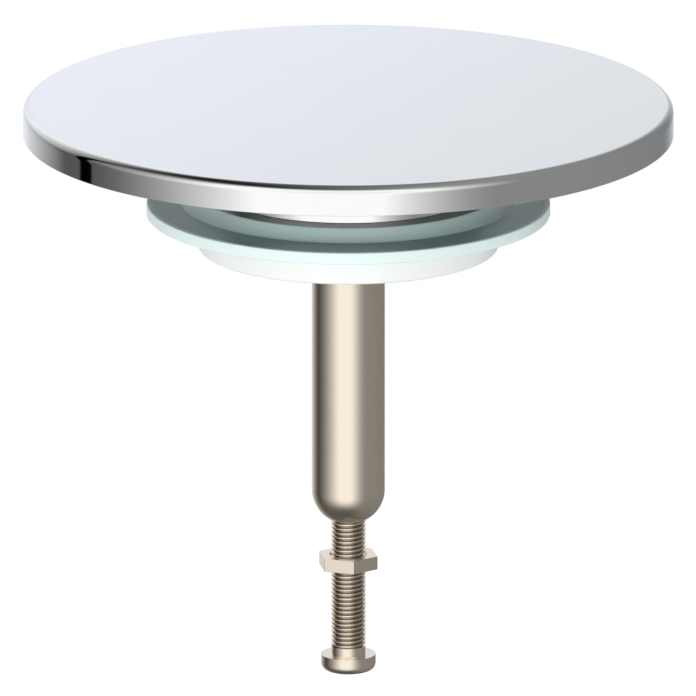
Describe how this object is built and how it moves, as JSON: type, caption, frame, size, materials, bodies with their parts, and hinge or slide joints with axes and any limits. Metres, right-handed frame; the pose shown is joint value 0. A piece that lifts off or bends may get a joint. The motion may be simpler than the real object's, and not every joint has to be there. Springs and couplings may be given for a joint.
{
  "type": "drain stopper",
  "caption": "Bath drain stopper: round chromed cover over a soft sealing ring and white retainer, on a metal stem with a threaded height-adjusting screw and lock nut.",
  "frame": {"origin": "on the stopper's axis, where the stem's upper end meets the retainer disc", "axes": "+Z along the stopper's axis, towards the cover; the stem points down, along -Z"},
  "size_m": [0.072, 0.072, 0.0649],
  "materials": {
    "chrome_plate": "polished",
    "zinc_plated_steel": "satin",
    "seal_rubber": "satin",
    "white_plastic": "satin",
    "satin_nickel": "satin"
  },
  "bodies": {
    "stopper": {"cover_cap": "chrome_plate", "backing_disc": "zinc_plated_steel", "clamp_stud": "zinc_plated_steel", "hub": "chrome_plate", "seal_ring": "seal_rubber", "retainer_disc": "white_plastic", "stem": "satin_nickel"},
    "adjusting_screw": {"adjusting_screw": "satin_nickel"},
    "lock_nut": {"lock_nut": "satin_nickel"}
  },
  "joints": [
    {"name": "screw_adjust", "type": "slide", "parent": "stopper", "child": "adjusting_screw", "axis": [0, 0, 1], "range_m": [-0.006, 0.006]},
    {"name": "nut_run", "type": "slide", "parent": "stopper", "child": "lock_nut", "axis": [0, 0, 1], "range_m": [-0.0038, 0.004]}
  ]
}
